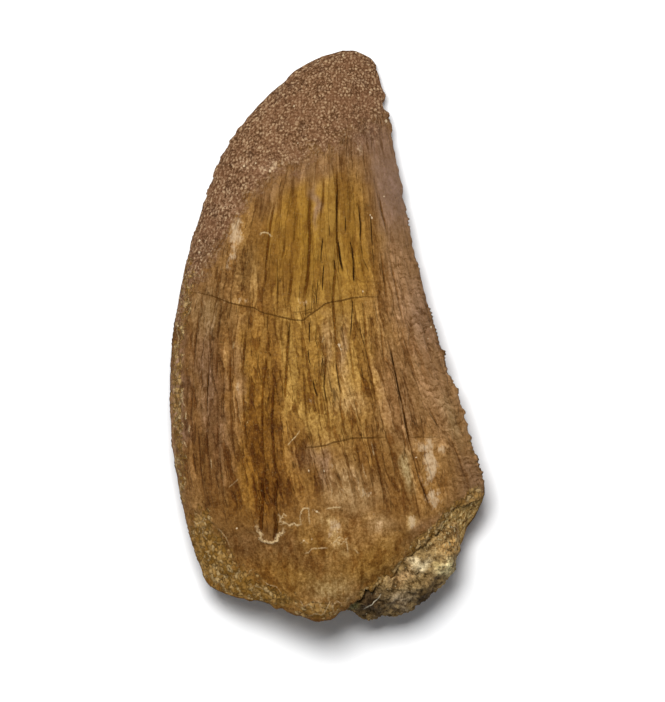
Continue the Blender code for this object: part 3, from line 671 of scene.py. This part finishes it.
def mesh_of_grids(name, grids):
    """One closed mesh from grids of points and attributes that share their borders."""
    mesh = bpy.data.meshes.new(name)
    firsts = np.cumsum([0] + [points.shape[0] * points.shape[1] for points, _ in grids])
    points = np.concatenate([points.reshape(-1, 3) for points, _ in grids]) * MM
    faces = np.concatenate([grid_faces(points.shape, n) for (points, _), n in zip(grids, firsts)])
    mesh.from_pydata(points.tolist(), [], faces.tolist())
    for key, example in grids[0][1].items():
        size = example.shape[2] if example.ndim == 3 else 1
        values = np.concatenate([marks[key].reshape(-1, size) for _, marks in grids])
        add_attribute(mesh, key, values.astype(np.float32))
    shape = bmesh.new()
    shape.from_mesh(mesh)
    bmesh.ops.remove_doubles(shape, verts=shape.verts, dist=0.002 * MM)
    bmesh.ops.recalc_face_normals(shape, faces=shape.faces)
    shape.to_mesh(mesh)
    shape.free()
    mesh.shade_smooth()
    return mesh


def new_object(name, mesh, material):
    mesh.materials.append(material)
    obj = bpy.data.objects.new(name, mesh)
    bpy.context.scene.collection.objects.link(obj)
    return obj


class Shader:
    """The nodes of one material, made by short calls. A six-digit code stands for its paint."""

    def __init__(self, name):
        self.material = bpy.data.materials.new(name)
        self.material.use_nodes = True
        self.tree = self.material.node_tree

    def put(self, socket, value):
        if isinstance(value, bpy.types.NodeSocket):
            self.tree.links.new(value, socket)
        elif socket.type == "RGBA":
            socket.default_value = (*(srgb(value) if isinstance(value, str) else value), 1.0)
        else:
            socket.default_value = value

    def node(self, kind, inputs, **settings):
        """The outputs of a new node with these settings and inputs."""
        node = self.tree.nodes.new("ShaderNode" + kind)
        for name, value in settings.items():
            setattr(node, name, value)
        for name, value in inputs.items():
            self.put(node.inputs[name], value)
        return node.outputs

    def attribute(self, name, output="Fac"):
        return self.node("Attribute", {}, attribute_name=name)[output]

    def math(self, operation, *values):
        return self.node("Math", dict(enumerate(values)), operation=operation)[0]

    def chain(self, operation, values):
        total = values[0]
        for value in values[1:]:
            total = self.math(operation, total, value)
        return total

    def add(self, *values):
        return self.chain("ADD", values)

    def times(self, *values):
        return self.chain("MULTIPLY", values)

    def most(self, *values):
        return self.chain("MAXIMUM", values)

    def rest(self, value):
        """What a mask leaves out."""
        return self.math("SUBTRACT", 1.0, value)

    def sway(self, noise, reach, middle=0.0):
        """A noise from 0 to 1 made as wide as the reach, about the middle."""
        return self.math("MULTIPLY_ADD", noise, reach, middle - reach / 2)

    def weighed(self, *parts):
        """The sum of products."""
        return self.add(*(self.times(*part) for part in parts))

    def stretch(self, vector, factors):
        """The vector times three factors, or times one."""
        factors = [float(factor) for factor in np.broadcast_to(factors, 3)]
        return self.node("VectorMath", {0: vector, 1: factors}, operation="MULTIPLY")[0]

    def moved(self, vector, x=0.0, y=0.0):
        step = self.node("CombineXYZ", {"X": x, "Y": y})[0]
        return self.node("VectorMath", {0: vector, 1: step}, operation="ADD")[0]

    def noise(self, vector, factors, detail=2.0, roughness=0.5):
        place = self.stretch(vector, factors)
        inputs = {"Vector": place, "Scale": 1.0, "Detail": detail, "Roughness": roughness}
        return self.node("TexNoise", inputs)["Fac"]

    def step(self, value, low, high, start=0.0, end=1.0):
        """start up to low, end from high on and an S-curve between. It falls where low is above high."""
        inputs = {"Value": value, "From Min": low, "From Max": high, "To Min": start, "To Max": end}
        return self.node("MapRange", inputs, interpolation_type="SMOOTHSTEP")[0]

    def mix(self, factor, a, b, blend="MIX"):
        inputs = {0: factor, 6: a, 7: b}
        return self.node("Mix", inputs, data_type="RGBA", blend_type=blend, clamp_factor=True)[2]

    def washed(self, colour, *washes):
        """The colour after washes in turn: what each follows, where it starts and is full, paint, strengths.

        A paint that is a code covers the colour under it, and three factors multiply it.
        """
        for value, start, full, paint, *strengths in washes:
            blend = "MIX" if isinstance(paint, str) else "MULTIPLY"
            colour = self.mix(self.times(self.step(value, start, full), *strengths), colour, paint, blend)
        return colour

    def joints(self, vector, factors, dimensions="2D"):
        """Distance to the nearest joint between cells, and a random tone for each cell."""
        inputs = {"Vector": self.stretch(vector, factors), "Scale": 1.0}
        edges = self.node("TexVoronoi", inputs, voronoi_dimensions=dimensions, feature="DISTANCE_TO_EDGE")
        cells = self.node("TexVoronoi", inputs, voronoi_dimensions=dimensions, feature="F1")
        return edges["Distance"], cells["Color"]

    def line(self, name, ragged, low=0.6, high=1.5):
        """How strongly each place belongs to the lines of one kind."""
        off = self.add(self.math("ABSOLUTE", self.attribute(name)), ragged)
        return self.times(self.step(off, high, low), self.attribute(name + "_power"))

    def millimetres(self):
        return self.stretch(self.node("TexCoord", {})["Object"], 1 / MM)

    def finish(self, colour, roughness, height):
        """The material, with bumps from a height in millimetres."""
        bump = self.node("Bump", {"Distance": MM, "Strength": 1.0, "Height": height})[0]
        looks = {"Base Color": colour, "Roughness": roughness, "Normal": bump, "Specular IOR Level": GLOSS}
        for name, value in looks.items():
            self.put(self.tree.nodes["Principled BSDF"].inputs[name], value)
        return self.material


def tooth_material():
    sh = Shader("fossil_enamel")
    here = sh.millimetres()
    flow = sh.attribute("flow", "Vector")
    flow = sh.moved(flow, sh.sway(sh.noise(flow, (0.5, 0.1, 1.0), 3.0), 1.6))
    grain = sh.attribute("grain")
    streaky = sh.attribute("streaky")
    pale = sh.attribute("pale")
    broken = sh.attribute("broken")

    # Masks
    speckle = sh.noise(here, 2.4, 4.0, 0.7)
    cloud = sh.noise(here, (0.45, 0.38, 0.45), 4.0, 0.65)
    clump = sh.noise(here, 1.1, 4.0, 0.7)
    ragged = sh.add(sh.sway(speckle, 5.0), sh.sway(cloud, 9.0))
    crust = sh.step(sh.add(sh.attribute("crust"), ragged), -2.6, 1.8)
    bare = sh.step(sh.add(sh.attribute("bare"), sh.times(ragged, 0.35)), -1.2, 1.2)
    sand = sh.step(sh.add(sh.attribute("sand"), sh.sway(speckle, 1.0), sh.sway(clump, 1.8)), 0.3, 0.58)
    enamel = sh.most(sh.math("SUBTRACT", sh.rest(sh.most(crust, bare)), sand), 0.0)
    fading = sh.step(sh.add(sh.attribute("bare"), sh.times(ragged, 0.5)), 1.6, -5.5)
    streaked = sh.times(streaky, sh.step(enamel, 0.0, 1.0, 0.25, 1.0), fading)

    # Bands and the dark joints between them, which follow the crown's length
    hatch = sh.noise(flow, (4.0, 1.1, 1.0), 3.0, 0.65)
    fine = sh.noise(flow, (3.0, 0.5, 1.0), 3.0, 0.6)
    wobbling = sh.moved(flow, sh.sway(sh.noise(flow, (1.5, 0.55, 1.0)), 0.9))
    edge, band_tone = sh.joints(wobbling, (0.66, 0.075, 1.0))
    thin_edge, thin_tone = sh.joints(wobbling, (1.3, 0.17, 1.0))
    closed = sh.sway(sh.noise(flow, (0.7, 0.2, 3.0)), 0.9, 0.07)
    joint = sh.times(sh.step(sh.add(edge, closed, sh.sway(hatch, 0.25)), 0.13, 0.03), streaked)
    thin_closed = sh.sway(sh.noise(flow, (0.9, 0.25, 5.0)), 1.2, 0.1)
    thin_joint = sh.times(sh.step(sh.add(thin_edge, thin_closed), 0.12, 0.02), streaked)
    streak = sh.line("streak", sh.sway(hatch, 2.4), 0.1, 1.15)
    streak = sh.times(streak, sh.step(sh.noise(flow, (1.1, 0.16, 7.0)), 0.36, 0.58, 0.45, 1.45))
    dark = sh.most(sh.times(joint, 0.8), sh.times(thin_joint, 0.65), streak)
    colour = sh.washed(
        sh.attribute("tint", "Color"),
        (band_tone, 0.5, 0.32, (0.74, 0.65, 0.5), streaked, 0.9),
        (band_tone, 0.5, 0.68, (1.3, 1.33, 1.4), streaked, 0.9),
        (thin_tone, 0.5, 0.25, (0.8, 0.73, 0.6), streaked, 0.6),
        (thin_tone, 0.5, 0.75, (1.16, 1.18, 1.24), streaked, 0.6),
        (fine, 0.53, 0.68, (0.66, 0.57, 0.43), streaked, 0.55),
        (fine, 0.47, 0.34, (1.18, 1.22, 1.32), streaked, 0.6),
        (hatch, 0.5, 0.68, (0.72, 0.65, 0.54), 0.6),
        (hatch, 0.48, 0.34, (1.18, 1.2, 1.26), 0.6),
    )
    colour = sh.mix(dark, colour, (0.44, 0.3, 0.1), "MULTIPLY")

    # Fine wrinkles across the crown, a cloudy mottle and dust
    wrinkle = sh.noise(sh.moved(flow, y=sh.times(cloud, 3.0)), (0.8, 2.3, 1.0), 3.0, 0.6)
    wrinkled = sh.times(sh.attribute("wrinkled"), enamel)
    mottle = sh.noise(here, (1.7, 1.3, 1.7), 5.0, 0.8)
    lively = sh.most(sh.step(streaky, 0.5, 0.95, 0.35, 1.0), sh.times(bare, 0.75))
    dust = sh.noise(here, 4.2, 2.0, 0.6)
    colour = sh.washed(
        colour,
        (wrinkle, 0.5, 0.62, (0.58, 0.5, 0.38), wrinkled, 0.95),
        (wrinkle, 0.48, 0.38, (1.3, 1.33, 1.43), wrinkled, 0.95),
        (cloud, 0.5, 0.7, (1.2, 1.22, 1.32)),
        (cloud, 0.5, 0.32, (0.8, 0.74, 0.64)),
        (mottle, 0.51, 0.61, (0.74, 0.68, 0.57), lively),
        (mottle, 0.49, 0.39, (1.28, 1.32, 1.44), lively),
        (speckle, 0.51, 0.61, (0.8, 0.74, 0.64), lively),
        (speckle, 0.49, 0.39, (1.24, 1.27, 1.36), lively),
        (dust, 0.55, 0.72, "b3905c", 0.25),
    )

    # The granular crust of the tip: painted shade in the gaps between its grains and paler grain tops as
    # painted highlight, over a squiggly mottle of its own
    squiggle = sh.noise(sh.stretch(here, (1.0, 1.3, 1.0)), 2.6, 3.0, 0.75)
    top = sh.add(sh.times(grain, 0.45), sh.times(squiggle, 1.2))
    crust_colour = sh.washed(
        "4c301d",
        (top, 0.66, 0.86, "8e694c"),
        (top, 0.88, 1.04, "ccab84"),
        (cloud, 0.42, 0.64, "8a6045", 0.45),
        (cloud, 0.46, 0.32, "6d5240", 0.35),
    )
    colour = sh.mix(sh.times(crust, 0.88), colour, crust_colour)

    # The bare base, the sandy crust and the broken face
    stain = sh.noise(here, (0.75, 0.34, 0.75), 5.0, 0.68)
    bare_colour = sh.washed(
        colour,
        (stain, 0.51, 0.4, (0.72, 0.62, 0.48)),
        (stain, 0.53, 0.63, (1.25, 1.32, 1.5)),
        (squiggle, 0.52, 0.62, (0.7, 0.62, 0.5), 0.7),
        (squiggle, 0.47, 0.37, (1.24, 1.28, 1.4), 0.8),
    )
    colour = sh.mix(bare, colour, bare_colour)
    shaken = sh.moved(here, sh.times(speckle, 1.1), sh.times(squiggle, 1.1))
    gap, grain_tone = sh.joints(shaken, 1.5, "3D")
    gap = sh.times(sh.step(gap, 0.14, 0.02), sh.step(clump, 0.44, 0.56, 0.25, 1.0))
    sand_colour = sh.washed(
        "966d2c",
        (grain_tone, 0.3, 0.65, "c99f5c"),
        (grain_tone, 0.62, 0.74, "e6c890", 0.6),
        (squiggle, 0.55, 0.63, "6a4818", 0.6),
    )
    # The sand is darkened in the gaps between its grains: painted shade in the recesses.
    sand_colour = sh.mix(0.2, sh.mix(sh.times(gap, 0.55), sand_colour, "6a4a1f"), colour)
    colour = sh.mix(sh.times(sand, 0.9), colour, sand_colour)
    fibres = sh.noise(here, (2.6, 1.3, 2.0), 4.0, 0.7)
    broken_colour = sh.washed(
        "634219",
        (fibres, 0.36, 0.5, "b8965c"),
        (fibres, 0.53, 0.64, "e8d2a0"),
        (sh.add(grain, sh.sway(squiggle, 0.8)), 0.45, 0.05, "5a3d18", 0.8),
    )
    # The broken face's paint is brightened to make up for the light it misses while facing away from the key
    # light: painted light.
    broken_colour = sh.mix(1.0, broken_colour, (1.45, 1.36, 1.15), "MULTIPLY")
    colour = sh.mix(broken, colour, broken_colour)

    # Chalky places, painted highlights as glints and sparkle, scratches and cracks
    chalky = sh.add(sh.times(pale, 1.1), sh.sway(sh.noise(here, (0.95, 0.6, 0.95), 6.0, 0.72), 3.0))
    colour = sh.washed(
        colour,
        (chalky, 0.0, 0.7, (1.3, 1.36, 1.45), sh.step(pale, 0.05, 0.4)),
        (chalky, 0.55, 1.15, "dabb93", sh.step(hatch, 0.62, 0.42, 0.5, 1.0), 0.9),
    )
    # The glints, and the sparkle on the sand and crust, are painted highlights in a pale colour.
    glint = sh.step(sh.add(sh.attribute("glint"), sh.sway(speckle, 0.8)), 0.35, 0.6)
    sparkling = sh.step(sh.most(sand, sh.times(crust, 0.7)), 0.0, 1.0, 0.0, 0.8)
    spark = sh.times(sh.step(sh.noise(here, 3.2, 1.0), 0.74, 0.8), sparkling)
    colour = sh.mix(sh.most(glint, spark), colour, "e0c49c")
    scratch = sh.line("scratch", sh.sway(dust, 6.0), 0.5, 1.7)
    scratch = sh.times(scratch, sh.step(clump, 0.4, 0.52, 0.45, 1.0))
    colour = sh.mix(sh.times(scratch, 0.85), colour, "dcbc8a")
    gaps = sh.step(sh.noise(flow, (0.8, 0.45, 1.0)), 0.34, 0.5, 0.55, 1.0)
    crack = sh.times(sh.line("crack", sh.sway(dust, 1.2)), gaps, 1.1, sh.rest(crust))
    # Cross cracks are a dark line of their own with a wider soft dark edge painted as the crack's shadow.
    cross = sh.line("cross", sh.sway(dust, 3.0), 0.3, 1.7)
    own = sh.noise(flow, (1.25, 0.1, 1.0), 1.0)
    hairline = sh.step(sh.math("ABSOLUTE", sh.math("SUBTRACT", own, 0.5)), 0.014, 0.004)
    hairline = sh.times(hairline, sh.step(sh.noise(flow, (0.5, 0.25, 3.0)), 0.56, 0.64), streaked, 0.6)
    colour = sh.mix(sh.times(cross, 0.9), colour, "57360f")
    colour = sh.mix(sh.most(crack, hairline), colour, "3a2207")
    opened = sh.most(crack, cross, hairline)

    shine = sh.step(sh.noise(here, 0.9, 4.0, 0.6), 0.3, 0.7, 0.54, 0.68)
    roughness = sh.weighed((sh.rest(enamel), 0.22), (shine,), (opened, 0.2))
    height = sh.weighed(
        (dark, -0.13), (fine, streaked, -0.07), (mottle, -0.1), (wrinkle, wrinkled, -0.12), (hatch, -0.02),
        (squiggle, crust, 0.2), (gap, sand, -0.15), (stain, bare, 0.1), (dust, 0.02),
        (fibres, broken, 0.35), (scratch, 0.04), (opened, -0.08),
    )
    return sh.finish(colour, sh.math("MINIMUM", roughness, 0.95), height)


def matrix_material():
    sh = Shader("cemented_sediment")
    here = sh.millimetres()
    tone = sh.attribute("tone")
    golden = sh.attribute("golden")
    lumps = sh.noise(here, 0.9, 5.0, 0.7)
    grit = sh.noise(here, 3.0, 3.0, 0.7)
    fibres = sh.noise(here, (2.4, 1.3, 2.0), 4.0, 0.7)
    colour = sh.washed(
        sh.mix(1.0, sh.attribute("tint", "Color"), (1.82, 1.76, 1.68), "MULTIPLY"),
        (lumps, 0.49, 0.4, (0.42, 0.37, 0.3)),
        (lumps, 0.52, 0.6, (1.5, 1.54, 1.62)),
        (tone, 0.35, 0.0, (0.6, 0.55, 0.48), 0.8),
        (tone, 0.7, 1.0, (1.35, 1.38, 1.42), 0.9),
        (grit, 0.53, 0.64, (1.4, 1.42, 1.45), 0.8),
        (grit, 0.47, 0.35, (0.48, 0.43, 0.36), 0.9),
        (fibres, 0.53, 0.64, "d8bf8a", golden),
        (fibres, 0.47, 0.36, "5f431c", golden, 0.8),
        # Near-black where the grains leave gaps and the lumps are low: painted shade in the recesses.
        (sh.attribute("grain"), 0.45, 0.08, "2c2110", sh.step(lumps, 0.6, 0.44, 0.25, 1.0), 0.7),
        (sh.noise(here, 2.8, 1.0), 0.7, 0.77, "d2c29c", 0.8),
    )
    colour = sh.mix(sh.line("scratch", sh.sway(grit, 1.2)), colour, "d8cbb0")
    roughness = sh.step(lumps, 0.3, 0.7, 0.62, 0.88)
    height = sh.weighed((lumps, 0.5), (grit, 0.3), (fibres, golden, 0.3))
    return sh.finish(colour, roughness, height)


def matrix_grid():
    """The sediment as a lumpy sausage along its middle line."""
    step = np.linspace(0, len(MATRIX_LINE) - 1, MATRIX_STEPS + 1)
    knots = np.arange(len(MATRIX_LINE))
    x, y, z, half_y, half_z = (smooth(knots, column, step)[:, None] for column in MATRIX_LINE.T)
    turn = np.linspace(0, 2 * math.pi, MATRIX_SIDES + 1)[None, :]
    heading = np.arctan2(np.gradient(y[:, 0]), np.gradient(x[:, 0]))[:, None]
    ends = np.sin(math.pi * np.linspace(0, 1, MATRIX_STEPS + 1))[:, None] ** 0.3
    around = turn / (2 * math.pi)
    along = step[:, None] * 1.7
    lump = (1 - around) * noise(along, 9 * around, 61) + around * noise(along, 9 * around - 9, 61)

    def placed(lump):
        radius_y = (half_y + lump * ends) * ends + MATRIX_GROWN
        radius_z = (half_z + lump * ends) * ends + MATRIX_GROWN
        side = radius_y * np.cos(turn)
        place = (x - side * np.sin(heading), y + side * np.cos(heading), z + radius_z * np.sin(turn))
        return np.stack(place, axis=-1)

    points = placed(MATRIX_LUMP * lump)
    coarse, coarse_tone = pebbles(points, 1.25, 211)
    small, small_tone = pebbles(points, 0.6, 212)
    detail = 0.5 * layered(points, 1.9, 4, 101) + 0.35 * coarse + 0.25 * small
    points = placed(MATRIX_LUMP * lump + detail - 0.35)
    above = ramp(np.sin(turn), 0.0, 0.8) * ends
    points += MATRIX_RISE * above[..., None]
    for k in (0, -1):
        points[k] = points[k].mean(axis=0)

    px, py = plan(points[..., 0], points[..., 1])
    wander = 6 * noise(px / 9, py / 9, 111)
    scratch, power = lines(px, py, MATRIX_SCRATCHES)
    golden_x, golden_y, lean = GOLDEN
    marks = {
        "tint": painted(px + wander, py + wander, MATRIX_BASE, MATRIX_PATCHES),
        "scratch": scratch,
        "scratch_power": power,
        "grain": 0.6 * coarse + 0.4 * small,
        "tone": 0.5 * coarse_tone + 0.5 * small_tone,
        "golden": ramp(px - lean * (py - golden_y) + wander - golden_x, -8.0, 8.0),
    }
    return points, marks


def build_tooth():
    front, front_marks = crown_wall(1)
    back, back_marks = crown_wall(-1)
    grids = [(front, front_marks), (back, back_marks), broken_face(front, back)]
    mesh = mesh_of_grids("tooth_surface", grids)
    tooth = new_object("tooth_surface", mesh, tooth_material())
    # The back is smoother, so it needs fewer faces than the front.
    flow = np.empty(len(mesh.vertices) * 3, np.float32)
    mesh.attributes["flow"].data.foreach_get("vector", flow)
    behind = np.flatnonzero(flow[2::3] < 0).tolist()
    group = tooth.vertex_groups.new(name="behind")
    group.add(behind, 1.0, "REPLACE")
    thin = tooth.modifiers.new("thin", "DECIMATE")
    thin.ratio = 1 - (1 - BACK_KEPT) * len(behind) / len(mesh.vertices)
    thin.vertex_group = "behind"
    graph = bpy.context.evaluated_depsgraph_get()
    tooth.modifiers.update()
    thinned = bpy.data.meshes.new_from_object(tooth.evaluated_get(graph))
    tooth.modifiers.clear()
    tooth.vertex_groups.clear()
    for corner in thinned.vertices:
        corner.co.z = max(corner.co.z, 0.0)
    tooth.data = thinned
    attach(tooth, "root")
    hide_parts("tooth")


def build_matrix():
    mesh = mesh_of_grids("matrix_surface", [matrix_grid()])
    matrix = new_object("matrix_surface", mesh, matrix_material())
    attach(matrix, "root")
    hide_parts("matrix")


def build_floor():
    mesh = bpy.data.meshes.new("floor")
    corners = [(x * FLOOR_SIDE, y * FLOOR_SIDE, 0) for x, y in ((-1, -1), (1, -1), (1, 1), (-1, 1))]
    mesh.from_pydata(corners, [], [(0, 1, 2, 3)])
    material = bpy.data.materials.new("floor")
    material.use_nodes = True
    shader = material.node_tree.nodes["Principled BSDF"]
    shader.inputs["Base Color"].default_value = (FLOOR_GREY, FLOOR_GREY, FLOOR_GREY, 1.0)
    shader.inputs["Roughness"].default_value = 0.9
    shader.inputs["Specular IOR Level"].default_value = 0.1
    new_object("floor", mesh, material)


def area_light(name, place, size, power):
    """A square light that faces the tooth."""
    light = bpy.data.lights.new(name, "AREA")
    light.size = size
    light.energy = power
    obj = bpy.data.objects.new(name, light)
    obj.location = place
    x, y, z = place
    obj.rotation_euler = (math.atan2(math.hypot(x, y), z), 0.0, math.atan2(y, x) + math.pi / 2)
    bpy.context.scene.collection.objects.link(obj)


def build_studio():
    scene = bpy.context.scene
    world = bpy.data.worlds.new("studio")
    scene.world = world
    world.use_nodes = True
    world.node_tree.nodes["Background"].inputs["Color"].default_value = WORLD_COLOUR
    world.node_tree.nodes["Background"].inputs["Strength"].default_value = WORLD_STRENGTH
    area_light("key", KEY_PLACE, KEY_SIZE, KEY_POWER)

    camera = bpy.data.cameras.new("camera")
    camera.lens = LENS
    camera.sensor_width = SENSOR
    camera.clip_end = 10.0
    obj = bpy.data.objects.new("camera", camera)
    distance = PLAN[1] * UNIT * MM * LENS / SENSOR
    middle = ((PLAN[0] / 2 - CENTRE[0]) * UNIT * MM, (CENTRE[1] - PLAN[1] / 2) * UNIT * MM)
    obj.location = (*middle, distance + CAMERA_RISE)
    scene.collection.objects.link(obj)
    scene.camera = obj
    scene.view_settings.view_transform = "Standard"


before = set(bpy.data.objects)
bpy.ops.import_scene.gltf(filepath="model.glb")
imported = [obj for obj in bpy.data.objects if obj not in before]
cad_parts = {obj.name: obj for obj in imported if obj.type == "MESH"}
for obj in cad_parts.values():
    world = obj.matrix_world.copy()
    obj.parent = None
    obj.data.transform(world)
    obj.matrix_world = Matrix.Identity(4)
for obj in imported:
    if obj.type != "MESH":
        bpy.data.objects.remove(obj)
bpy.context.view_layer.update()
build_studio()
build_floor()
build_tooth()
build_matrix()
